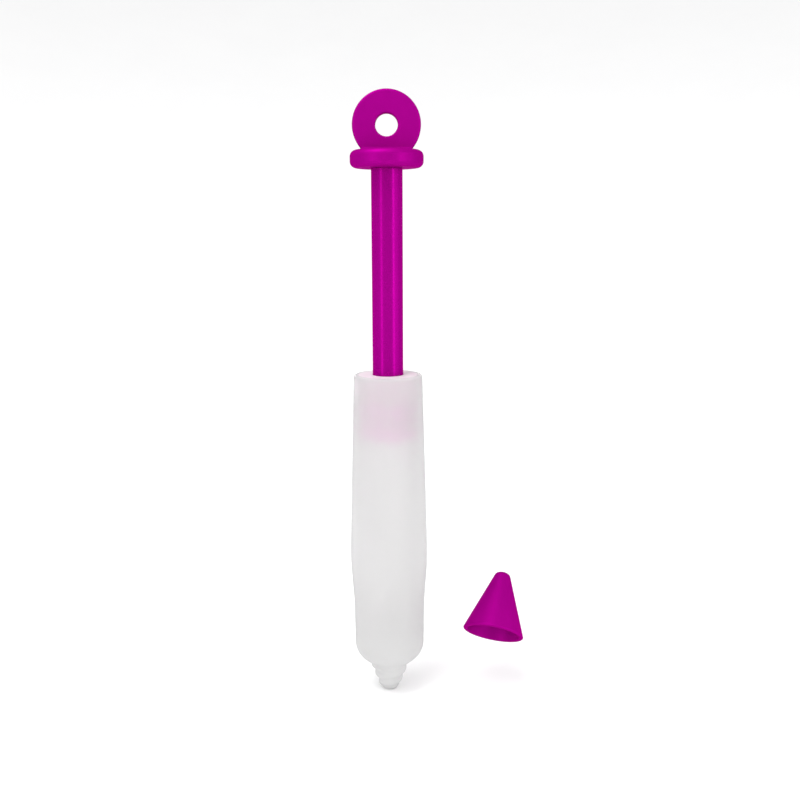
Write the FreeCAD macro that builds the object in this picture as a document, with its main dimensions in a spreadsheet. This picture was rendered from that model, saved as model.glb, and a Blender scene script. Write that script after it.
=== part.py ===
import FreeCAD, Part
import math
import os

import Sketcher

# A hand-held decorating pen: a soft barrel with a screw-ridged nozzle, a ring-pull plunger with a
# two-seal piston, and a cone cap. Millimetres. The origin is the nozzle's orifice, on the axis, and
# +Z runs along the pen to the finger ring. The plunger is drawn out and the cap is off.

SHEET = "Dims"
OVERSHOOT = 1.0  # how far a cut runs past the face it opens
SIZES = [
    # barrel, outside
    ("barrel_height", 110.3, "nozzle tip to open end"),
    ("nozzle_tip_radius", 2.4, "at the orifice"),
    ("nozzle_tip_edge", 1.0, "rounding of the tip"),
    ("nozzle_root_radius", 6.0, "where the nozzle meets the shoulder"),
    ("nozzle_length", 9.4, "tip to shoulder"),
    ("shoulder_radius", 11.7, "outer radius above the shoulder"),
    ("shoulder_height", 14.2, "corner of the shoulder, before rounding"),
    ("shoulder_round", 7.2, "rounding of that corner"),
    ("waist_radius", 11.9, "start of the bulge over the grip"),
    ("waist_height", 31.5, "height of the waist"),
    ("bulge_radius", 13.0, "widest place, before rounding"),
    ("bulge_height", 47.6, "height of the widest place"),
    ("outline_round", 90.0, "rounding of the waist and the bulge"),
    ("mouth_radius", 11.2, "outer radius at the open end"),
    ("mouth_edge", 0.9, "rounding of the open end's rim"),
    # barrel, screw ridge on the nozzle
    ("ridge_pitch", 3.4, "rise in one turn"),
    ("ridge_turns", 2.1, "number of turns"),
    ("ridge_foot", 2.6, "width of the ridge where it leaves the nozzle"),
    ("ridge_crest", 1.0, "width of the ridge's crest"),
    ("ridge_rise", 0.6, "how far the crest stands out"),
    ("ridge_sink", 0.4, "how deep the ridge is rooted in the nozzle"),
    ("ridge_bottom", 0.5, "lower end of the ridge, above the tip"),
    # barrel, finger dents
    ("dent_radius", 40.0, "radius of the ball that shapes a dent"),
    ("dent_floor", 11.2, "distance from the axis to a dent's deepest place"),
    ("dent_height", 34.0, "height of a dent's middle"),
    ("dent_turn", 283.0, "angle of the first dent round the axis, degrees"),
    ("dent_count", 3, "dents round the grip"),
    # barrel, inside
    ("bore_radius", 9.8, "inside of the barrel"),
    ("bore_floor", 20.0, "lower end of the straight bore"),
    ("orifice_radius", 1.1, "outlet hole"),
    ("orifice_length", 3.0, "straight part of the outlet"),
    # end plug
    ("plug_bottom", 102.4, "lower face of the plug"),
    ("plug_hole_radius", 5.05, "guides the rod"),
    ("plug_hole_edge", 0.3, "bevel at both ends of the guide hole"),
    ("snap_height", 106.4, "middle of the snap rib"),
    ("snap_width", 1.6, "width of the snap rib at its foot"),
    ("snap_depth", 0.4, "how far the rib stands out"),
    # plunger rod
    ("rod_radius", 5.0, ""),
    ("rod_bottom", 102.1, "shoulder above the neck"),
    ("rod_top", 176.1, "top end, against the flange"),
    ("neck_radius", 2.65, "neck that passes through the piston's top"),
    ("button_radius", 3.95, "button that holds the piston"),
    ("button_bottom", 93.4, ""),
    ("button_top", 96.4, ""),
    ("button_edge", 0.6, "bevel on the button"),
    ("spigot_radius", 3.5, "handle's spigot and the rod's bore"),
    ("spigot_length", 10.0, ""),
    ("spigot_gap", 0.2, "room under the spigot"),
    # ring handle
    ("flange_radius", 11.65, ""),
    ("flange_thickness", 5.5, ""),
    ("flange_edge", 2.0, "rounding of the flange's edges"),
    ("ring_height", 189.2, "centre of the ring"),
    ("ring_radius", 10.8, ""),
    ("ring_hole_radius", 3.55, ""),
    ("ring_thickness", 4.0, ""),
    ("ring_edge", 0.7, "rounding of the ring's outer edges"),
    ("ring_hole_edge", 0.4, "rounding of the hole's edges"),
    # piston
    ("piston_bottom", 89.2, ""),
    ("piston_top", 102.0, ""),
    ("piston_radius", 9.2, "lands beside the seals"),
    ("piston_waist_radius", 8.4, "between the seals"),
    ("seal_seat_radius", 7.6, "bottom of a seal's groove"),
    ("seal_radius", 9.75, "outside of a seal"),
    ("seal_thickness", 3.2, ""),
    ("seal_edge", 0.8, "rounding of a seal's outer edges"),
    ("lower_seal_bottom", 89.9, ""),
    ("upper_seal_bottom", 97.8, ""),
    ("seal_land", 1.0, "land on the waist side of each seal"),
    ("pivot_gap", 0.05, "radial clearance between rod and piston"),
    ("pivot_end_gap", 0.1, "end clearance between rod and piston"),
    # cone cap
    ("cap_radius", 10.6, "outside of the mouth"),
    ("cap_length", 21.9, ""),
    ("cap_top_radius", 2.35, "flat top of the cone, before rounding"),
    ("cap_top_edge", 2.0, "rounding of the top"),
    ("cap_rim_edge", 0.35, "rounding of the mouth's outer edge"),
    ("cap_mouth_radius", 9.0, "inside of the mouth"),
    ("cap_ledge_radius", 7.0, "inside of the mouth's inner end"),
    ("cap_ledge_depth", 4.8, ""),
    ("cap_seat_radius", 5.95, "mouth of the nozzle's seat"),
    ("cap_seat_end_radius", 1.2, ""),
    ("cap_seat_depth", 15.8, "from the mouth to the end of the seat"),
    ("cap_x", 35.7, "centre of the cap's mouth, where it lies beside the nozzle"),
    ("cap_z", 19.55, ""),
    ("cap_tilt", 36.9, "lean of the cap's axis to the back, degrees"),
    ("cap_lean", 12.25, "lean of the cap's axis to the side, degrees"),
]


class Size:
    """A length that keeps the sheet expression it comes from beside its value."""

    def __init__(self, value, text):
        self.value = float(value)
        self.text = text

    def __add__(self, other):
        other = as_size(other)
        return Size(self.value + other.value, f"({self.text} + {other.text})")

    def __sub__(self, other):
        other = as_size(other)
        return Size(self.value - other.value, f"({self.text} - {other.text})")

    def __radd__(self, other):
        return as_size(other) + self

    def __mul__(self, other):
        other = as_size(other)
        return Size(self.value * other.value, f"({self.text} * {other.text})")


def as_size(number):
    return number if isinstance(number, Size) else Size(number, str(float(number)))


class Sizes:
    """The driving dimensions, written to the sheet and read by name."""

    def __init__(self, doc):
        sheet = doc.addObject("Spreadsheet::Sheet", SHEET)
        for row, (alias, value, note) in enumerate(SIZES, start=1):
            sheet.set(f"A{row}", alias)
            sheet.set(f"B{row}", str(value))
            sheet.set(f"C{row}", note)
            sheet.setAlias(f"B{row}", alias)
            setattr(self, alias, Size(value, f"{SHEET}.{alias}"))
        doc.recompute()


def bind(feature, prop, size):
    """Sets a feature's property from the sheet."""
    feature.setExpression(prop, as_size(size).text)


def origin_item(body, role):
    return next(item for item in body.Origin.OriginFeatures if item.Role == role)


def new_sketch(body, name, plane="XZ_Plane"):
    sketch = body.newObject("Sketcher::SketchObject", name)
    sketch.AttachmentSupport = [(origin_item(body, plane), "")]
    sketch.MapMode = "FlatFace"
    return sketch


def pin_point(sketch, geometry, vertex, across, up):
    """Holds one point of a sketch at (across, up) from the origin."""
    for kind, size in (("DistanceX", as_size(across)), ("DistanceY", as_size(up))):
        constraint = Sketcher.Constraint(kind, -1, 1, geometry, vertex, size.value)
        index = sketch.addConstraint(constraint)
        sketch.setExpression(f"Constraints[{index}]", size.text)


def outline(body, name, corners):
    """A closed outline in the XZ plane through (radius, height) or (radius, height, round) corners.

    A corner with a round becomes an arc tangent to both its sides, and the corner itself stays as
    a pinned construction point that both sides pass through.
    """
    sketch = new_sketch(body, name)
    points = [FreeCAD.Vector(as_size(c[0]).value, as_size(c[1]).value, 0) for c in corners]
    arcs = {}
    for number, corner in enumerate(corners):
        if len(corner) == 3:
            before = points[number - 1]
            after = points[(number + 1) % len(points)]
            arcs[number] = corner_arc(before, points[number], after, corner[2].value)
    for side in range(len(points)):
        following = (side + 1) % len(points)
        start = arcs[side].leave if side in arcs else points[side]
        end = arcs[following].arrive if following in arcs else points[following]
        sketch.addGeometry(Part.LineSegment(start, end))
    for number, corner in enumerate(corners):
        before = (number - 1) % len(points)
        if number in arcs:
            round_corner(sketch, before, number, arcs[number], corner)
        else:
            join = Sketcher.Constraint("Coincident", before, 2, number, 1)
            sketch.addConstraint(join)
            pin_point(sketch, number, 1, corner[0], corner[1])
    return sketch


class CornerArc:
    """An arc tangent to both sides of a corner."""

    def __init__(self, arrive, leave, centre, radius):
        self.arrive = arrive
        self.leave = leave
        self.centre = centre
        self.radius = radius
        self.turns_left = (leave - centre).cross(arrive - centre).z < 0

    def curve(self):
        first, last = (self.arrive, self.leave) if self.turns_left else (self.leave, self.arrive)
        angles = [math.atan2(p.y - self.centre.y, p.x - self.centre.x) for p in (first, last)]
        ring = Part.Circle(self.centre, FreeCAD.Vector(0, 0, 1), self.radius)
        return Part.ArcOfCircle(ring, *angles)


def corner_arc(before, corner, after, radius):
    back = (before - corner).normalize()
    ahead = (after - corner).normalize()
    half_angle = back.getAngle(ahead) / 2
    reach = radius / math.tan(half_angle)
    centre = corner + (back + ahead).normalize() * (radius / math.sin(half_angle))
    return CornerArc(corner + back * reach, corner + ahead * reach, centre, radius)


def round_corner(sketch, before, after, arc, corner):
    """Joins two sides of an outline by a tangent arc, about their pinned corner."""
    curve = sketch.addGeometry(arc.curve())
    arrive_end, leave_end = (1, 2) if arc.turns_left else (2, 1)
    sketch.addConstraint(Sketcher.Constraint("Tangent", before, 2, curve, arrive_end))
    sketch.addConstraint(Sketcher.Constraint("Tangent", curve, leave_end, after, 1))
    index = sketch.addConstraint(Sketcher.Constraint("Radius", curve, arc.radius))
    sketch.setExpression(f"Constraints[{index}]", corner[2].text)
    place = FreeCAD.Vector(corner[0].value, corner[1].value, 0)
    mark = sketch.addGeometry(Part.Point(place), True)
    pin_point(sketch, mark, 1, corner[0], corner[1])
    for side in (before, after):
        sketch.addConstraint(Sketcher.Constraint("PointOnObject", mark, 1, side))


def circle(body, name, across, up, radius):
    """A circle in the XZ plane."""
    sketch = new_sketch(body, name)
    centre = FreeCAD.Vector(as_size(across).value, as_size(up).value, 0)
    shape = Part.Circle(centre, FreeCAD.Vector(0, 0, 1), radius.value)
    sketch.addGeometry(shape)
    pin_point(sketch, 0, 3, across, up)
    index = sketch.addConstraint(Sketcher.Constraint("Radius", 0, radius.value))
    sketch.setExpression(f"Constraints[{index}]", radius.text)
    return sketch


def turn(body, name, corners, kind="PartDesign::Revolution"):
    """Turns an outline about the Z axis, as solid or as a cut."""
    sketch = outline(body, name + "Outline", corners)
    feature = body.newObject(kind, name)
    feature.Profile = sketch
    feature.ReferenceAxis = (sketch, ["V_Axis"])
    feature.Angle = 360
    body.Document.recompute()
    return feature


def rims(shape, radius, height, axis=2):
    """Names of the circular edges of this radius, at this height along an axis (0, 1 or 2)."""
    found = []
    for number, edge in enumerate(shape.Edges, start=1):
        if not isinstance(edge.Curve, Part.Circle):
            continue
        same_size = abs(edge.Curve.Radius - radius.value) < 0.01
        if same_size and abs(edge.Curve.Center[axis] - as_size(height).value) < 0.01:
            found.append(f"Edge{number}")
    return found


def round_rims(body, name, places, radius, axis=2):
    """Fillets the circular edges at (radius, height) places of the body's last feature."""
    base = body.Tip
    edges = [e for place in places for e in rims(base.Shape, *place, axis)]
    if len(edges) < len(places):
        raise RuntimeError(f"{body.Label}: {name} found {len(edges)} edges")
    fillet = body.newObject("PartDesign::Fillet", name)
    fillet.Base = (base, edges)
    bind(fillet, "Radius", radius)
    body.Document.recompute()
    return fillet


def new_body(doc, label):
    body = doc.addObject("PartDesign::Body", "".join(w.title() for w in label.split("_")))
    body.Label = label
    return body


def make_barrel(doc, dims):
    body = new_body(doc, "barrel")
    turn(body, "BarrelOuter", [
        (0, 0),
        (dims.nozzle_tip_radius, 0),
        (dims.nozzle_root_radius, dims.nozzle_length),
        (dims.shoulder_radius, dims.shoulder_height, dims.shoulder_round),
        (dims.waist_radius, dims.waist_height, dims.outline_round),
        (dims.bulge_radius, dims.bulge_height, dims.outline_round),
        (dims.mouth_radius, dims.barrel_height),
        (0, dims.barrel_height),
    ])
    mouth = [(dims.mouth_radius, dims.barrel_height)]
    round_rims(body, "BarrelMouthEdge", mouth, dims.mouth_edge)
    tip = [(dims.nozzle_tip_radius, 0)]
    round_rims(body, "BarrelTipEdge", tip, dims.nozzle_tip_edge)
    add_ridge(body, dims)
    cut_dents(body, dims)
    half_width = dims.snap_width * 0.5
    groove_radius = dims.bore_radius + dims.snap_depth
    turn(body, "BarrelBore", [
        (0, -OVERSHOOT),
        (dims.orifice_radius, -OVERSHOOT),
        (dims.orifice_radius, dims.orifice_length),
        (dims.bore_radius, dims.bore_floor),
        (dims.bore_radius, dims.snap_height - half_width),
        (groove_radius, dims.snap_height - half_width + dims.snap_depth),
        (groove_radius, dims.snap_height + half_width - dims.snap_depth),
        (dims.bore_radius, dims.snap_height + half_width),
        (dims.bore_radius, dims.barrel_height + OVERSHOOT),
        (0, dims.barrel_height + OVERSHOOT),
    ], "PartDesign::Groove")
    return body


def add_ridge(body, dims):
    """Winds the screw ridge up the nozzle, right-handed, along the nozzle's own taper.

    It starts on the -X side of the tip.
    """
    spread = dims.nozzle_root_radius - dims.nozzle_tip_radius
    slope = spread.value / dims.nozzle_length.value
    foot_radius = dims.nozzle_tip_radius + dims.ridge_bottom * slope
    flank = (dims.ridge_foot - dims.ridge_crest) * 0.5
    crest_radius = foot_radius + dims.ridge_rise
    crest_end = flank + dims.ridge_crest
    section = outline(body, "RidgeSection", [
        (across * -1, up + dims.ridge_bottom) for across, up in (
            (foot_radius - dims.ridge_sink, 0),
            (foot_radius + dims.ridge_foot * slope - dims.ridge_sink, dims.ridge_foot),
            (crest_radius + crest_end * slope, crest_end),
            (crest_radius + flank * slope, flank),
        )
    ])
    ridge = body.newObject("PartDesign::AdditiveHelix", "Ridge")
    ridge.Profile = section
    ridge.ReferenceAxis = (section, ["V_Axis"])
    ridge.Mode = "pitch-turns-angle"
    ridge.Angle = math.degrees(math.atan(slope))
    ridge.LeftHanded = False
    bind(ridge, "Pitch", dims.ridge_pitch)
    bind(ridge, "Turns", dims.ridge_turns)
    body.Document.recompute()


def cut_dents(body, dims):
    """Presses shallow finger dents into the grip with a large ball, evenly round the axis."""
    ball = body.newObject("PartDesign::SubtractiveSphere", "DentBall")
    ball.AttachmentSupport = [(origin_item(body, "XY_Plane"), "")]
    ball.MapMode = "FlatFace"
    turned = f"{SHEET}.dent_turn * 1 deg"
    reach = (dims.dent_floor + dims.dent_radius).text
    bind(ball, "Radius", dims.dent_radius)
    ball.setExpression("AttachmentOffset.Base.x", f"{reach} * cos({turned})")
    ball.setExpression("AttachmentOffset.Base.y", f"{reach} * sin({turned})")
    ball.setExpression("AttachmentOffset.Base.z", dims.dent_height.text)
    body.Document.recompute()
    dents = body.newObject("PartDesign::PolarPattern", "Dents")
    dents.Originals = [ball]
    dents.Axis = (origin_item(body, "Z_Axis"), [""])
    dents.Angle = 360
    bind(dents, "Occurrences", dims.dent_count)
    body.Tip = dents
    body.Document.recompute()


def make_end_plug(doc, dims):
    body = new_body(doc, "end_plug")
    half_width = dims.snap_width * 0.5
    rib_radius = dims.bore_radius + dims.snap_depth
    flare = dims.plug_hole_radius + dims.plug_hole_edge
    turn(body, "PlugRing", [
        (flare, dims.plug_bottom),
        (dims.bore_radius, dims.plug_bottom),
        (dims.bore_radius, dims.snap_height - half_width),
        (rib_radius, dims.snap_height - half_width + dims.snap_depth),
        (rib_radius, dims.snap_height + half_width - dims.snap_depth),
        (dims.bore_radius, dims.snap_height + half_width),
        (dims.bore_radius, dims.barrel_height),
        (flare, dims.barrel_height),
        (dims.plug_hole_radius, dims.barrel_height - dims.plug_hole_edge),
        (dims.plug_hole_radius, dims.plug_bottom + dims.plug_hole_edge),
    ])
    return body


def make_plunger_rod(doc, dims):
    body = new_body(doc, "plunger_rod")
    turn(body, "RodOuter", [
        (0, dims.button_bottom),
        (dims.button_radius - dims.button_edge, dims.button_bottom),
        (dims.button_radius, dims.button_bottom + dims.button_edge),
        (dims.button_radius, dims.button_top),
        (dims.neck_radius, dims.button_top),
        (dims.neck_radius, dims.rod_bottom),
        (dims.rod_radius, dims.rod_bottom),
        (dims.rod_radius, dims.rod_top),
        (0, dims.rod_top),
    ])
    bore_bottom = dims.rod_top - dims.spigot_length - dims.spigot_gap
    turn(body, "RodBore", [
        (0, bore_bottom),
        (dims.spigot_radius, bore_bottom),
        (dims.spigot_radius, dims.rod_top + OVERSHOOT),
        (0, dims.rod_top + OVERSHOOT),
    ], "PartDesign::Groove")
    return body


def make_ring_handle(doc, dims):
    body = new_body(doc, "ring_handle")
    disc = circle(body, "RingOutline", 0, dims.ring_height, dims.ring_radius)
    ring = body.newObject("PartDesign::Pad", "Ring")
    ring.Profile = disc
    ring.SideType = "Symmetric"
    bind(ring, "Length", dims.ring_thickness)
    doc.recompute()
    hole_outline = circle(body, "HoleOutline", 0, dims.ring_height, dims.ring_hole_radius)
    hole = body.newObject("PartDesign::Pocket", "RingHole")
    hole.Profile = hole_outline
    hole.Type = "ThroughAll"
    hole.SideType = "Symmetric"
    doc.recompute()
    side = dims.ring_thickness * 0.5
    outer = [(dims.ring_radius, side), (dims.ring_radius, side * -1)]
    round_rims(body, "RingEdge", outer, dims.ring_edge, axis=1)
    inner = [(dims.ring_hole_radius, side), (dims.ring_hole_radius, side * -1)]
    round_rims(body, "RingHoleEdge", inner, dims.ring_hole_edge, axis=1)
    flange_top = dims.rod_top + dims.flange_thickness
    turn(body, "Flange", [
        (0, dims.rod_top - dims.spigot_length),
        (dims.spigot_radius, dims.rod_top - dims.spigot_length),
        (dims.spigot_radius, dims.rod_top),
        (dims.flange_radius, dims.rod_top),
        (dims.flange_radius, flange_top),
        (0, flange_top),
    ])
    edges = [(dims.flange_radius, dims.rod_top), (dims.flange_radius, flange_top)]
    round_rims(body, "FlangeEdge", edges, dims.flange_edge)
    return body


def make_piston_spool(doc, dims):
    body = new_body(doc, "piston_spool")
    corners = [(0, dims.piston_bottom), (dims.piston_radius, dims.piston_bottom)]
    for bottom in (dims.lower_seal_bottom, dims.upper_seal_bottom):
        top = bottom + dims.seal_thickness
        waist_side = top + dims.seal_land
        if bottom is dims.upper_seal_bottom:
            corners += [
                (dims.piston_waist_radius, bottom - dims.seal_land),
                (dims.piston_radius, bottom - dims.seal_land),
            ]
        corners += [
            (dims.piston_radius, bottom),
            (dims.seal_seat_radius, bottom),
            (dims.seal_seat_radius, top),
            (dims.piston_radius, top),
        ]
        if bottom is dims.lower_seal_bottom:
            corners += [
                (dims.piston_radius, waist_side),
                (dims.piston_waist_radius, waist_side),
            ]
    corners += [(dims.piston_radius, dims.piston_top), (0, dims.piston_top)]
    turn(body, "SpoolOuter", corners)
    button_radius = dims.button_radius + dims.pivot_gap
    neck_radius = dims.neck_radius + dims.pivot_gap
    socket_bottom = dims.button_bottom - dims.pivot_end_gap
    socket_top = dims.button_top + dims.pivot_end_gap
    turn(body, "SpoolSocket", [
        (0, socket_bottom),
        (button_radius, socket_bottom),
        (button_radius, socket_top),
        (neck_radius, socket_top),
        (neck_radius, dims.piston_top + OVERSHOOT),
        (0, dims.piston_top + OVERSHOOT),
    ], "PartDesign::Groove")
    return body


def make_seal_ring(doc, dims, label, bottom):
    body = new_body(doc, label)
    top = bottom + dims.seal_thickness
    turn(body, "SealRing", [
        (dims.seal_seat_radius, bottom),
        (dims.seal_radius, bottom),
        (dims.seal_radius, top),
        (dims.seal_seat_radius, top),
    ])
    edges = [(dims.seal_radius, bottom), (dims.seal_radius, top)]
    round_rims(body, "SealEdge", edges, dims.seal_edge)
    return body


def make_cone_cap(doc, dims):
    """Made about its own axis with the mouth at the origin, then placed beside the nozzle."""
    body = new_body(doc, "cone_cap")
    turn(body, "CapOuter", [
        (0, 0),
        (dims.cap_radius, 0),
        (dims.cap_top_radius, dims.cap_length),
        (0, dims.cap_length),
    ])
    top = [(dims.cap_top_radius, dims.cap_length)]
    round_rims(body, "CapTop", top, dims.cap_top_edge)
    rim = [(dims.cap_radius, 0)]
    round_rims(body, "CapRim", rim, dims.cap_rim_edge)
    turn(body, "CapHollow", [
        (0, 0),
        (dims.cap_mouth_radius, 0),
        (dims.cap_ledge_radius, dims.cap_ledge_depth),
        (dims.cap_seat_radius, dims.cap_ledge_depth),
        (dims.cap_seat_end_radius, dims.cap_seat_depth),
        (0, dims.cap_seat_depth),
    ], "PartDesign::Groove")
    tilt = math.radians(dims.cap_tilt.value)
    lean = math.radians(dims.cap_lean.value)
    axis = FreeCAD.Vector(
        math.sin(lean),
        math.cos(lean) * math.sin(tilt),
        math.cos(lean) * math.cos(tilt),
    )
    turned = FreeCAD.Rotation(FreeCAD.Vector(0, 0, 1), axis)
    body.Placement = FreeCAD.Placement(FreeCAD.Vector(0, 0, 0), turned)
    bind(body, "Placement.Base.x", dims.cap_x)
    bind(body, "Placement.Base.z", dims.cap_z)
    return body


def check(doc, bodies):
    """Stops if any object failed or any sub-part isn't one valid solid."""
    for item in doc.Objects:
        if "Invalid" in item.State or "Error" in item.State:
            raise RuntimeError(f"{item.Label} failed: {item.State}")
    for body in bodies:
        shape = body.Shape
        if shape.isNull() or not shape.isValid() or len(shape.Solids) != 1:
            raise RuntimeError(f"{body.Label} is not one valid solid")
        print(f"{body.Label}: {shape.Volume / 1000:.3f} cm3, {len(shape.Faces)} faces")


def main():
    doc = FreeCAD.newDocument("DecoratingPen")
    dims = Sizes(doc)
    bodies = [
        make_barrel(doc, dims),
        make_end_plug(doc, dims),
        make_plunger_rod(doc, dims),
        make_ring_handle(doc, dims),
        make_piston_spool(doc, dims),
        make_seal_ring(doc, dims, "lower_seal_ring", dims.lower_seal_bottom),
        make_seal_ring(doc, dims, "upper_seal_ring", dims.upper_seal_bottom),
        make_cone_cap(doc, dims),
    ]
    doc.recompute()
    check(doc, bodies)
    os.makedirs("parts", exist_ok=True)
    for body in bodies:
        body.Shape.exportStep(f"parts/{body.Label}.step")


main()
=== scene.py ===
import math

import bpy
import numpy as np
from mathutils import Matrix, Vector


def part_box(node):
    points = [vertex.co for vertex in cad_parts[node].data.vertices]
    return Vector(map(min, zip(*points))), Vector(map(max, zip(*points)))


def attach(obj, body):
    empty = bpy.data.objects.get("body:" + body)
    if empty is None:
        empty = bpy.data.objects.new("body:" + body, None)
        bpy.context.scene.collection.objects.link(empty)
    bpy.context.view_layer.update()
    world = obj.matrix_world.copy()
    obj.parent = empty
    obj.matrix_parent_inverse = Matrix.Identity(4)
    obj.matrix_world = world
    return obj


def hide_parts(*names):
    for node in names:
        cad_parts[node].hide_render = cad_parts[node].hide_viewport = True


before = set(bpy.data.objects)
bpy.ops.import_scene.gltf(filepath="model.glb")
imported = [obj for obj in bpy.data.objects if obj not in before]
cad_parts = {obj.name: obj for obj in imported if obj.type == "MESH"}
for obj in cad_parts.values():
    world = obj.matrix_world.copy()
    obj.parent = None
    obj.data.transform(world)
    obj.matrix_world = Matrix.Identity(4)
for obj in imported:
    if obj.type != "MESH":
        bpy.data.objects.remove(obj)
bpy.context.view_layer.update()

MM = 0.001

# The decorating pen stands on its nozzle with +Z along the pen, the camera looks along +Y, and the
# cap is on the right. Lengths below are in millimetres, and meshes are scaled to metres when made.


def top_of(node):
    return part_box(node)[1].z / MM


def bottom_of(node):
    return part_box(node)[0].z / MM


# ---------------------------------------------------------------- outlines and meshes

def rounded(corners, step=0.6, closed=True):
    """Points along an outline of (radius, height) or (radius, height, round) corners."""
    places = [np.array(c[:2], float) for c in corners]
    count = len(places)
    points = []
    for number, corner in enumerate(corners):
        here = places[number]
        if len(corner) == 3:
            back = places[number - 1] - here
            ahead = places[(number + 1) % count] - here
            back /= np.linalg.norm(back)
            ahead /= np.linalg.norm(ahead)
            half = math.acos(np.clip(back @ ahead, -1, 1)) / 2
            reach = corner[2] / math.tan(half)
            to_centre = (back + ahead) / np.linalg.norm(back + ahead)
            centre = here + to_centre * corner[2] / math.sin(half)
            start = here + back * reach - centre
            sweep = math.pi - 2 * half
            turn = np.sign(start[1] * back[0] - start[0] * back[1])
            pieces = max(4, math.ceil(sweep / math.radians(7)), math.ceil(corner[2] * sweep / step))
            for k in range(pieces + 1):
                angle = turn * sweep * k / pieces
                c, s = math.cos(angle), math.sin(angle)
                points.append(centre + np.array([c * start[0] - s * start[1],
                                                 s * start[0] + c * start[1]]))
        else:
            points.append(here)
    filled = []
    last = len(points) if closed else len(points) - 1
    for number in range(last):
        start, end = points[number], points[(number + 1) % len(points)]
        pieces = max(1, math.ceil(np.linalg.norm(end - start) / step))
        filled += [start + (end - start) * k / pieces for k in range(pieces)]
    if not closed:
        filled.append(points[-1])
    return np.array(filled)


def new_mesh(name, points, faces):
    mesh = bpy.data.meshes.new(name)
    mesh.from_pydata([tuple(p) for p in points * MM], [], faces)
    mesh.validate()
    mesh.shade_smooth()
    obj = bpy.data.objects.new(name, mesh)
    bpy.context.scene.collection.objects.link(obj)
    return obj


def lathe(name, outline, closed=True, segments=192, relief=None):
    """Turns an outline about Z. relief(radius, height, angles) gives the radii to use instead.

    An open outline starts and ends on the axis.
    """
    angles = np.arange(segments) * 2 * math.pi / segments
    points, rings = [], []
    for radius, height in outline:
        if radius < 1e-6:
            rings.append([len(points)])
            points.append((0, 0, height))
            continue
        radii = relief(radius, height, angles) if relief else np.full(segments, radius)
        rings.append(range(len(points), len(points) + segments))
        points += list(zip(radii * np.cos(angles), radii * np.sin(angles), np.full(segments, height)))
    faces = []
    pairs = list(zip(rings, rings[1:]))
    if closed:
        pairs.append((rings[-1], rings[0]))
    for low, high in pairs:
        for k in range(segments):
            after = (k + 1) % segments
            if len(low) == 1:
                faces.append((low[0], high[after], high[k]))
            elif len(high) == 1:
                faces.append((low[k], low[after], high[0]))
            else:
                faces.append((low[k], low[after], high[after], high[k]))
    return new_mesh(name, np.array(points), faces)


# ---------------------------------------------------------------- materials

class Nodes:
    """A material's node tree with a Principled shader, and short calls to add nodes to it."""

    def __init__(self, name):
        self.material = bpy.data.materials.new(name)
        self.material.use_nodes = True
        self.tree = self.material.node_tree
        self.shader = self.tree.nodes["Principled BSDF"]
        self.place = self.add("ShaderNodeTexCoord").outputs["Object"]

    def add(self, kind, **settings):
        node = self.tree.nodes.new(kind)
        for key, value in settings.items():
            setattr(node, key, value)
        return node

    def link(self, source, target):
        self.tree.links.new(source, target)

    def noise(self, scale, detail=3.0, roughness=0.5, stretch=(1, 1, 1)):
        mapping = self.add("ShaderNodeMapping")
        mapping.inputs["Scale"].default_value = stretch
        self.link(self.place, mapping.inputs["Vector"])
        node = self.add("ShaderNodeTexNoise")
        node.inputs["Scale"].default_value = scale
        node.inputs["Detail"].default_value = detail
        node.inputs["Roughness"].default_value = roughness
        self.link(mapping.outputs["Vector"], node.inputs["Vector"])
        return node.outputs["Fac"]

    def spread(self, value, low, high, low_in=0.3, high_in=0.7):
        """Stretches the part of a value between low_in and high_in to run from low to high."""
        node = self.add("ShaderNodeMapRange")
        limits = {"From Min": low_in, "From Max": high_in, "To Min": low, "To Max": high}
        for key, number in limits.items():
            node.inputs[key].default_value = number
        self.link(value, node.inputs["Value"])
        return node.outputs["Result"]

    def colour(self, value, first, second):
        """Blends two colours. Each is three numbers or another node's output."""
        node = self.add("ShaderNodeMix", data_type="RGBA")
        for socket, source in ((6, first), (7, second)):
            if isinstance(source, tuple):
                node.inputs[socket].default_value = (*source, 1)
            else:
                self.link(source, node.inputs[socket])
        self.link(value, node.inputs[0])
        return node.outputs[2]

    def height(self, low, high):
        """0 below one height of the piece and 1 above another."""
        split = self.add("ShaderNodeSeparateXYZ")
        self.link(self.place, split.inputs["Vector"])
        return self.spread(split.outputs["Z"], 0, 1, low * MM, high * MM)

    def bump(self, height, strength, distance, under=None):
        node = self.add("ShaderNodeBump")
        node.inputs["Strength"].default_value = strength
        node.inputs["Distance"].default_value = distance
        self.link(height, node.inputs["Height"])
        if under is not None:
            self.link(under, node.inputs["Normal"])
        return node.outputs["Normal"]

    def set(self, **sockets):
        for key, value in sockets.items():
            self.shader.inputs[key.replace("_", " ")].default_value = value

    def use(self, colour=None, roughness=None, normal=None):
        for key, source in (("Base Color", colour), ("Roughness", roughness), ("Normal", normal)):
            if source is not None:
                self.link(source, self.shader.inputs[key])


MAGENTA = (0.31, 0.0011, 0.205)
MAGENTA_DEEP = (0.285, 0.0009, 0.19)
SPOOL_PINK = (0.85, 0.015, 0.65)
SPOOL_PINK_DEEP = (0.8, 0.012, 0.6)
SEAL_PINK = (0.95, 0.02, 0.75)
SEAL_PINK_DEEP = (0.92, 0.02, 0.7)
HIGHLIGHT = (0.9, 0.02, 0.6, 1)
SILICONE = (0.79, 0.785, 0.786)
SILICONE_SHADE = (0.77, 0.766, 0.767)
# Painted shade: the barrel's colour near the nozzle, darker grey towards the bottom.
SILICONE_PAINTED_SHADE = (0.655, 0.653, 0.652)
# Painted light: the plug's pink below its whitish top face stands in for magenta light from the
# piston.
PLUG_PAINTED_PINK = (0.98, 0.34, 0.76)
PLUG_PAINTED_PINK_DEEP = (0.96, 0.32, 0.74)
PLUG_FACE = (0.86, 0.80, 0.835)
PAPER = (0.965, 0.965, 0.967)
PAPER_SHADE = (0.955, 0.955, 0.957)


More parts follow.
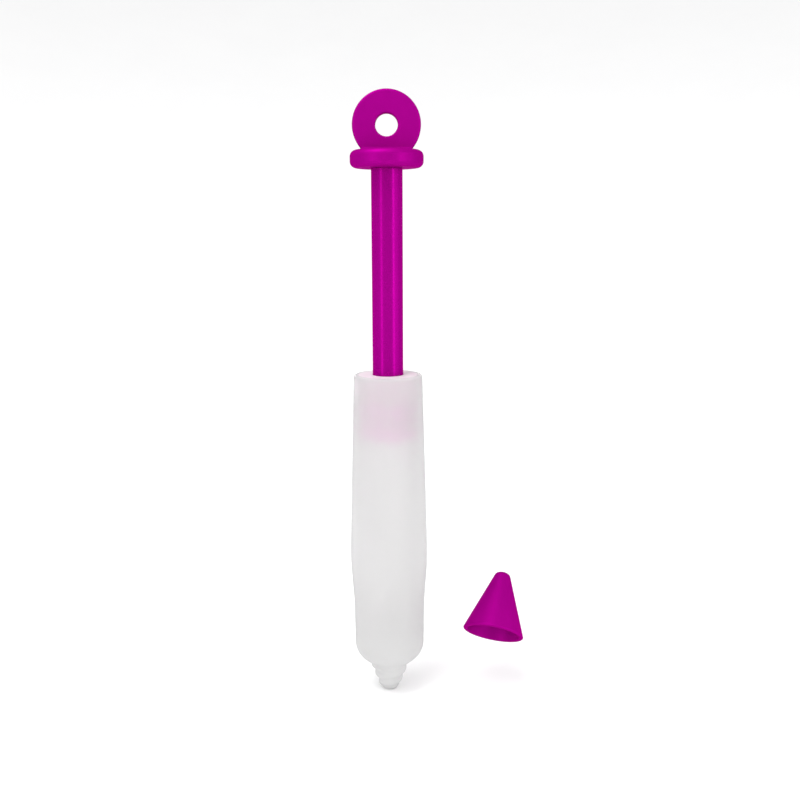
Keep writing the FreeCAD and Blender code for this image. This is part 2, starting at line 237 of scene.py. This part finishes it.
def moulded_plastic(name, rough_low, rough_high, grain, first=MAGENTA, second=MAGENTA_DEEP):
    """Magenta plastic: faint flow clouds in the colour, an uneven polish and a fine mould grain.

    The metallic share gives its highlights the plastic's own colour instead of white.
    """
    n = Nodes(name)
    clouds = n.noise(90, detail=4, stretch=(1, 1, 0.35))
    polish = n.noise(420, detail=3)
    skin = n.noise(5200, detail=2)
    waves = n.noise(160, detail=1)
    n.use(
        colour=n.colour(n.spread(clouds, 0, 1), first, second),
        roughness=n.spread(polish, rough_low, rough_high),
        normal=n.bump(skin, grain, 0.00002, n.bump(waves, 0.05, 0.00004)),
    )
    n.set(Metallic=0.45, Specular_IOR_Level=0.0, Specular_Tint=HIGHLIGHT)
    return n.material


def frosted(name, first, second, through, index, blur, face=None, thick=None):
    """Milky silicone or plastic: some light passes it, and what is behind it shows softly.

    face is (colour, height): over the last 1.5 mm below that height the piece turns to this colour.
    thick is (low, high, colour): below low the wall is solid and passes little light, and the piece
    takes this colour, a painted shade that darkens it towards the bottom; above high it passes its
    full share.
    """
    n = Nodes(name)
    clouds = n.noise(70, detail=3, stretch=(1, 1, 0.4))
    polish = n.noise(600, detail=3)
    frost = n.noise(7000, detail=2)
    swell = n.noise(110, detail=1)
    colour = n.colour(n.spread(clouds, 0, 1), first, second)
    if face:
        colour = n.colour(n.height(face[1] - 1.5, face[1]), colour, face[0])
    if thick:
        # Painted shade: below thick's high height the colour darkens towards the bottom.
        colour = n.colour(n.height(*thick[:2]), thick[2], colour)
    n.use(
        colour=colour,
        roughness=n.spread(polish, blur - 0.05, blur + 0.05),
        normal=n.bump(frost, 0.25, 0.00003, n.bump(swell, 0.2, 0.00008)),
    )
    n.set(IOR=index, Transmission_Weight=through)
    if thick:
        share = n.spread(n.height(*thick[:2]), 0.35 * through, through, 0, 1)
        n.link(share, n.shader.inputs["Transmission Weight"])
    return n.material


def studio_paper(name):
    n = Nodes(name)
    n.use(
        colour=n.colour(n.spread(n.noise(6, detail=2), 0, 1), PAPER, PAPER_SHADE),
        roughness=n.spread(n.noise(300), 0.85, 0.95),
    )
    n.set(Specular_IOR_Level=0.1)
    return n.material


def finish_piece(obj, body, slot, material, *nodes):
    obj.data.materials.append(material)
    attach(obj, body)
    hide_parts(*nodes)


# ---------------------------------------------------------------- the pen's pieces

BARREL_TOP = top_of("barrel")
BORE_RADIUS = 9.8
ORIFICE_RADIUS = 1.1
SNAP_HEIGHT, SNAP_HALF, SNAP_DEPTH = 106.4, 0.8, 0.4
NOZZLE_LENGTH = 9.4
RIDGE_PITCH, RIDGE_RISE, RIDGE_START = 3.4, 0.62, 1.85
RIDGE_FADE_IN, RIDGE_FADE_OUT = (0.4, 1.6), (8.4, 10.2)
DENT_HEIGHT, DENT_DEPTH, DENT_TURN, DENT_COUNT = 34.0, 0.85, math.radians(283), 3
DENT_HALF_LENGTH, DENT_HALF_WIDTH = 10.0, 5.4


def smooth_step(value, low, high):
    share = np.clip((value - low) / (high - low), 0, 1)
    return share * share * (3 - 2 * share)


def screw_ridge(height, angles):
    """How far the right-handed ridge stands out.

    On the -X side its crests are at RIDGE_START and at every pitch above that.
    """
    on_nozzle = smooth_step(height, *RIDGE_FADE_IN) * (1 - smooth_step(height, *RIDGE_FADE_OUT))
    turns = (height - RIDGE_START) / RIDGE_PITCH - (angles - math.pi) / (2 * math.pi)
    wave = 0.5 + 0.5 * np.cos(2 * math.pi * turns)
    return RIDGE_RISE * on_nozzle * wave ** 0.8


def finger_dents(radius, height, angles):
    depth = np.zeros_like(angles)
    for number in range(DENT_COUNT):
        centre = DENT_TURN + number * 2 * math.pi / DENT_COUNT
        around = (angles - centre + math.pi) % (2 * math.pi) - math.pi
        along = (height - DENT_HEIGHT) / DENT_HALF_LENGTH
        across = around * radius / DENT_HALF_WIDTH
        depth += DENT_DEPTH * np.clip(1 - (along ** 2 + across ** 2), 0, None) ** 2
    return depth


def mid_wall(height):
    """A radius between the barrel's inside and its outside."""
    if height > NOZZLE_LENGTH + 6:
        return BORE_RADIUS + 0.7
    return 1.2 + 0.42 * height


def barrel_relief(radius, height, angles):
    """Adds the ridge and the dents to the barrel's outside and leaves its inside round."""
    if radius < mid_wall(height):
        return np.full_like(angles, radius)
    return radius + screw_ridge(height, angles) - finger_dents(radius, height, angles)


def make_barrel():
    outside = [
        (ORIFICE_RADIUS, 0.0, 0.25),
        (2.4, 0.0, 1.0),
        (6.0, NOZZLE_LENGTH, 0.8),
        (11.7, 14.2, 7.2),
        (11.9, 31.5, 90.0),
        (13.0, 47.6, 90.0),
        (11.2, BARREL_TOP, 0.9),
        (BORE_RADIUS, BARREL_TOP, 0.1),
    ]
    inside = [
        (BORE_RADIUS, SNAP_HEIGHT + SNAP_HALF),
        (BORE_RADIUS + SNAP_DEPTH, SNAP_HEIGHT + SNAP_HALF - SNAP_DEPTH),
        (BORE_RADIUS + SNAP_DEPTH, SNAP_HEIGHT - SNAP_HALF + SNAP_DEPTH),
        (BORE_RADIUS, SNAP_HEIGHT - SNAP_HALF),
        (BORE_RADIUS, 20.0, 4.0),
        (ORIFICE_RADIUS, 3.0, 0.8),
    ]
    obj = lathe("barrel_shell", rounded(outside + inside, 0.35), segments=240, relief=barrel_relief)
    # The silicone's colour darkens towards the nozzle as painted shade. The thicker wall there also
    # passes less light.
    silicone = frosted(
        "silicone", SILICONE, SILICONE_SHADE, through=0.6, index=1.3, blur=0.7,
        thick=(9.0, 27.0, SILICONE_PAINTED_SHADE),
    )
    finish_piece(obj, "barrel", "frosted_silicone", silicone, "barrel")


PLUG_BOTTOM = bottom_of("end_plug")
PLUG_HOLE_RADIUS = 5.05


def make_end_plug():
    skin = 0.03
    outer = BORE_RADIUS - skin
    rib = outer + SNAP_DEPTH
    outline = rounded([
        (PLUG_HOLE_RADIUS, PLUG_BOTTOM, 0.3),
        (outer, PLUG_BOTTOM, 0.3),
        (outer, SNAP_HEIGHT - SNAP_HALF),
        (rib, SNAP_HEIGHT - SNAP_HALF + SNAP_DEPTH),
        (rib, SNAP_HEIGHT + SNAP_HALF - SNAP_DEPTH),
        (outer, SNAP_HEIGHT + SNAP_HALF),
        (outer, BARREL_TOP, 0.1),
        (PLUG_HOLE_RADIUS, BARREL_TOP, 0.15),
    ], 0.5)
    obj = lathe("guide_plug", outline)
    # Below its whitish top face the plug is painted pink, as painted light from the magenta piston.
    plastic = frosted(
        "plug_plastic", PLUG_PAINTED_PINK, PLUG_PAINTED_PINK_DEEP, through=0.3, index=1.3, blur=0.5,
        face=(PLUG_FACE, BARREL_TOP - 0.2),
    )
    finish_piece(obj, "barrel", "frosted_plug", plastic, "end_plug")


ROD_RADIUS, ROD_TOP = 5.0, top_of("plunger_rod")
BUTTON_RADIUS, BUTTON_LENGTH = 3.95, 3.0
NECK_RADIUS, NECK_END = 2.65, 8.7
SOCKET_RADIUS, SOCKET_DEPTH = 3.5, 10.2


def make_plunger_rod():
    """Button and neck below, the rod itself, and the socket for the handle's spigot on top."""
    rod_top = ROD_TOP - 0.02
    low = bottom_of("plunger_rod")
    neck, shoulder = low + BUTTON_LENGTH, low + NECK_END
    bore = rod_top - SOCKET_DEPTH
    outline = rounded([
        (0, low),
        (BUTTON_RADIUS, low, 0.6),
        (BUTTON_RADIUS, neck, 0.3),
        (NECK_RADIUS, neck, 0.2),
        (NECK_RADIUS, shoulder, 0.2),
        (ROD_RADIUS, shoulder, 0.4),
        (ROD_RADIUS, rod_top, 0.15),
        (SOCKET_RADIUS, rod_top, 0.2),
        (SOCKET_RADIUS, bore, 0.3),
        (0, bore),
    ], 0.8, closed=False)
    obj = lathe("rod", outline, closed=False)
    plastic = moulded_plastic("gloss_rod", 0.22, 0.3, 0.05)
    finish_piece(obj, "plunger", "gloss_magenta", plastic, "plunger_rod")


LAND_RADIUS, LAND_LENGTH = 9.2, 1.0
WAIST_RADIUS, GROOVE_RADIUS = 8.4, 7.6
NECK_HOLE_RADIUS, BUTTON_HOLE_RADIUS = 2.7, 4.0
SEAL_INNER_RADIUS, SEAL_OUTER_RADIUS, SEAL_GAP = 7.63, 9.75, 0.02


def seal_groove(bottom, top):
    return [
        (LAND_RADIUS, bottom, 0.1),
        (GROOVE_RADIUS, bottom, 0.2),
        (GROOVE_RADIUS, top, 0.2),
        (LAND_RADIUS, top, 0.1),
    ]


def make_piston():
    low, high = bottom_of("piston_spool"), top_of("piston_spool")
    first, first_top = bottom_of("lower_seal_ring"), top_of("lower_seal_ring")
    second, second_top = bottom_of("upper_seal_ring"), top_of("upper_seal_ring")
    socket, socket_top = bottom_of("plunger_rod") - 0.1, bottom_of("plunger_rod") + 3.1
    spool = rounded([
        (0, low),
        (LAND_RADIUS, low, 0.3),
        *seal_groove(first, first_top),
        (LAND_RADIUS, first_top + LAND_LENGTH, 0.2),
        (WAIST_RADIUS, first_top + LAND_LENGTH, 0.3),
        (WAIST_RADIUS, second - LAND_LENGTH, 0.3),
        (LAND_RADIUS, second - LAND_LENGTH, 0.2),
        *seal_groove(second, second_top),
        (LAND_RADIUS, high, 0.3),
        (NECK_HOLE_RADIUS, high, 0.2),
        (NECK_HOLE_RADIUS, socket_top, 0.2),
        (BUTTON_HOLE_RADIUS, socket_top, 0.2),
        (BUTTON_HOLE_RADIUS, socket, 0.3),
        (0, socket),
    ], 0.5, closed=False)
    obj = lathe("spool", spool, closed=False)
    plastic = moulded_plastic("spool_plastic", 0.3, 0.4, 0.1, SPOOL_PINK, SPOOL_PINK_DEEP)
    finish_piece(obj, "piston", "satin_magenta", plastic, "piston_spool")
    for node in ("lower_seal_ring", "upper_seal_ring"):
        low, high = bottom_of(node) + SEAL_GAP, top_of(node) - SEAL_GAP
        ring = rounded([
            (SEAL_INNER_RADIUS, low, 0.3),
            (SEAL_OUTER_RADIUS, low, 0.8),
            (SEAL_OUTER_RADIUS, high, 0.8),
            (SEAL_INNER_RADIUS, high, 0.3),
        ], 0.3)
        obj = lathe(node.replace("_ring", ""), ring)
        rubber = moulded_plastic(node + "_rubber", 0.45, 0.6, 0.2, SEAL_PINK, SEAL_PINK_DEEP)
        finish_piece(obj, "piston", "soft_magenta", rubber, node)


def disc_distance(across, along, radius, half_thickness, edge):
    """Signed distance to a disc with rounded edges, from distances across and along its axis."""
    out_across = across - (radius - edge)
    out_along = np.abs(along) - (half_thickness - edge)
    outside = np.hypot(np.maximum(out_across, 0), np.maximum(out_along, 0))
    return outside + np.minimum(np.maximum(out_across, out_along), 0) - edge


def soft_union(first, second, blend):
    share = np.clip(0.5 + 0.5 * (second - first) / blend, 0, 1)
    return second + (first - second) * share - blend * share * (1 - share)


FLANGE_RADIUS, FLANGE_THICKNESS, FLANGE_EDGE = 11.65, 5.5, 2.0
RING_HEIGHT, RING_RADIUS, RING_THICKNESS, RING_EDGE = 189.2, 10.8, 4.0, 0.7
RING_HOLE, RING_HOLE_EDGE = 3.55, 0.5
SPIGOT_RADIUS, SPIGOT_LENGTH = 3.47, 10.0
FOOT_BLEND = 1.0
SKIN_VOXEL = 0.21


def handle_distance(p):
    """Signed distance to the handle: flange, ring with its hole, and spigot, with a soft foot."""
    around_z = np.hypot(p[:, 0], p[:, 1])
    around_y = np.hypot(p[:, 0], p[:, 2] - RING_HEIGHT)
    flange_middle = ROD_TOP + FLANGE_THICKNESS / 2
    flange = disc_distance(
        around_z, p[:, 2] - flange_middle, FLANGE_RADIUS, FLANGE_THICKNESS / 2, FLANGE_EDGE)
    ring = disc_distance(around_y, p[:, 1], RING_RADIUS, RING_THICKNESS / 2, RING_EDGE)
    hole = RING_HOLE - around_y
    ring = -soft_union(-ring, -hole, RING_HOLE_EDGE)
    spigot = disc_distance(
        around_z, p[:, 2] - (ROD_TOP - SPIGOT_LENGTH / 2), SPIGOT_RADIUS, SPIGOT_LENGTH / 2 + 1, 0.4)
    spigot = np.maximum(spigot, ROD_TOP - SPIGOT_LENGTH - p[:, 2])
    return np.minimum(soft_union(flange, ring, FOOT_BLEND), spigot)


def slope_of(field, p, step=0.01):
    columns = []
    for axis in range(3):
        offset = np.zeros(3)
        offset[axis] = step
        columns.append((field(p + offset) - field(p - offset)) / (2 * step))
    return np.stack(columns, 1)


def settle_on(field, p, neighbours, rounds):
    """Moves points onto the surface field = 0, evening them out along it between moves."""
    low, high = neighbours
    count = np.bincount(np.r_[low, high], minlength=len(p))[:, None]
    for number in range(rounds):
        for _ in range(3):
            slope = slope_of(field, p)
            size = np.maximum((slope ** 2).sum(1), 0.05)
            p = p - np.clip(field(p) / size, -0.4, 0.4)[:, None] * slope
        if number < rounds - 1:
            total = np.zeros_like(p)
            np.add.at(total, low, p[high])
            np.add.at(total, high, p[low])
            p = p + 0.5 * (total / count - p)
    return p


def make_ring_handle():
    """Remeshes rough discs into one skin, then settles it on the handle's exact soft-edged shape."""
    start = ROD_TOP - SPIGOT_LENGTH
    turned = rounded([
        (0, start), (SPIGOT_RADIUS, start), (SPIGOT_RADIUS, ROD_TOP), (FLANGE_RADIUS, ROD_TOP, 1.2),
        (FLANGE_RADIUS, ROD_TOP + FLANGE_THICKNESS, 1.2), (0, ROD_TOP + FLANGE_THICKNESS),
    ], 1.0, closed=False)
    rough = lathe("handle", turned, closed=False, segments=96)
    half = RING_THICKNESS / 2
    loop = lathe("loop", rounded([
        (RING_HOLE, -half), (RING_RADIUS, -half, 0.5), (RING_RADIUS, half, 0.5), (RING_HOLE, half),
    ], 1.0), segments=96)
    loop.rotation_euler.x = math.pi / 2
    loop.location.z = RING_HEIGHT * MM
    bpy.context.view_layer.update()
    loop.data.transform(loop.matrix_world)
    merged = bpy.data.meshes.new("handle_rough")
    points, faces = [], []
    for mesh in (rough.data, loop.data):
        first = len(points)
        points += [v.co[:] for v in mesh.vertices]
        faces += [tuple(first + i for i in f.vertices) for f in mesh.polygons]
    merged.from_pydata(points, [], faces)
    bpy.data.objects.remove(loop)
    rough.data = merged
    remesh = rough.modifiers.new("skin", "REMESH")
    remesh.mode = "VOXEL"
    remesh.voxel_size = SKIN_VOXEL * MM
    skin = bpy.data.meshes.new_from_object(rough.evaluated_get(bpy.context.evaluated_depsgraph_get()))
    rough.modifiers.clear()
    rough.data = skin
    p = np.array([v.co for v in skin.vertices], float) / MM
    edges = np.array([e.vertices[:] for e in skin.edges])
    p = settle_on(handle_distance, p, (edges[:, 0], edges[:, 1]), 5)
    skin.vertices.foreach_set("co", (p * MM).ravel())
    skin.update()
    skin.shade_smooth()
    plastic = moulded_plastic("satin_handle", 0.42, 0.52, 0.12)
    finish_piece(rough, "plunger", "satin_magenta", plastic, "ring_handle")


CAP_TILT, CAP_LEAN = math.radians(36.9), math.radians(12.25)
CAP_MOUTH = Vector((35.7, 0, 19.55))
CAP_RADIUS, CAP_TOP_RADIUS, CAP_LENGTH = 10.6, 2.35, 21.9
CAP_MOUTH_RADIUS, CAP_LEDGE_RADIUS, CAP_LEDGE_HEIGHT = 9.0, 7.0, 4.8
CAP_SEAT_RADIUS, CAP_SEAT_END_RADIUS, CAP_SEAT_HEIGHT = 5.95, 1.2, 15.8


def make_cone_cap():
    """A hollow cone with a stepped inside, placed with its mouth tipped down beside the pen."""
    outline = rounded([
        (0, CAP_SEAT_HEIGHT),
        (CAP_SEAT_END_RADIUS, CAP_SEAT_HEIGHT, 0.8),
        (CAP_SEAT_RADIUS, CAP_LEDGE_HEIGHT, 0.4),
        (CAP_LEDGE_RADIUS, CAP_LEDGE_HEIGHT, 0.4),
        (CAP_MOUTH_RADIUS, 0, 0.3),
        (CAP_RADIUS, 0, 0.4),
        (CAP_TOP_RADIUS, CAP_LENGTH, 2.0),
        (0, CAP_LENGTH),
    ], 0.4, closed=False)
    obj = lathe("cap_shell", outline, closed=False)
    axis = Vector((
        math.sin(CAP_LEAN),
        math.cos(CAP_LEAN) * math.sin(CAP_TILT),
        math.cos(CAP_LEAN) * math.cos(CAP_TILT),
    ))
    turn = Vector((0, 0, 1)).rotation_difference(axis).to_matrix().to_4x4()
    obj.data.transform(Matrix.Translation(CAP_MOUTH * MM) @ turn)
    plastic = moulded_plastic("satin_cap", 0.4, 0.5, 0.12)
    finish_piece(obj, "cap", "satin_magenta", plastic, "cone_cap")


# ---------------------------------------------------------------- studio

ROOM_LIGHT = 0.93
FLOOR_GAP = 0.02
SOFTBOXES = [
    # name, place, target, width, height, watts
    ("key", (-150, -140, 560), (0, 0, 0), 340, 340, 1.8),
    ("fill", (420, -150, 200), (0, 0, 80), 260, 400, 0.26),
    ("left_strip", (-250, -270, 130), (0, 0, 110), 60, 420, 0.29),
    ("right_strip", (270, -245, 130), (0, 0, 110), 60, 420, 0.38),
    ("backdrop_light", (0, 700, 900), (0, 2500, 0), 2500, 800, 6),
]


def softbox(name, place, target, width, height, power):
    lamp = bpy.data.lights.new(name, "AREA")
    lamp.shape = "RECTANGLE"
    lamp.size = width * MM
    lamp.size_y = height * MM
    lamp.energy = power
    obj = bpy.data.objects.new(name, lamp)
    obj.location = Vector(place) * MM
    aim = Vector(target) - Vector(place)
    obj.rotation_euler = aim.to_track_quat("-Z", "Y").to_euler()
    obj.visible_camera = False
    bpy.context.scene.collection.objects.link(obj)


def make_studio():
    """A wide white floor that rises into a backdrop, in a white room, with softboxes."""
    dish = rounded([(0, -FLOOR_GAP), (1700, -FLOOR_GAP, 2600), (4800, 2121)], 60, closed=False)
    floor = lathe("floor", dish, closed=False, segments=96)
    floor.data.materials.append(studio_paper("paper"))
    world = bpy.data.worlds.new("white_room")
    bpy.context.scene.world = world
    world.use_nodes = True
    world.node_tree.nodes["Background"].inputs["Color"].default_value = (1, 1, 1, 1)
    world.node_tree.nodes["Background"].inputs["Strength"].default_value = ROOM_LIGHT
    for values in SOFTBOXES:
        softbox(*values)


CAMERA_PLACE = (3.9, -302.8, 157.0)
CAMERA_PITCH, CAMERA_ROLL = math.radians(10.35), math.radians(0.23)


def make_camera():
    camera = bpy.data.objects.new("camera", bpy.data.cameras.new("camera"))
    camera.data.lens = 42
    camera.data.sensor_width = 36
    camera.data.clip_start = 0.01
    camera.location = Vector(CAMERA_PLACE) * MM
    camera.rotation_mode = "XYZ"
    camera.rotation_euler = (math.pi / 2 - CAMERA_PITCH, 0, 0)
    camera.rotation_euler.rotate_axis("Z", -CAMERA_ROLL)
    bpy.context.scene.collection.objects.link(camera)
    bpy.context.scene.camera = camera
    bpy.context.scene.view_settings.view_transform = "Standard"


make_camera()
make_barrel()
make_end_plug()
make_plunger_rod()
make_piston()
make_ring_handle()
make_cone_cap()
make_studio()
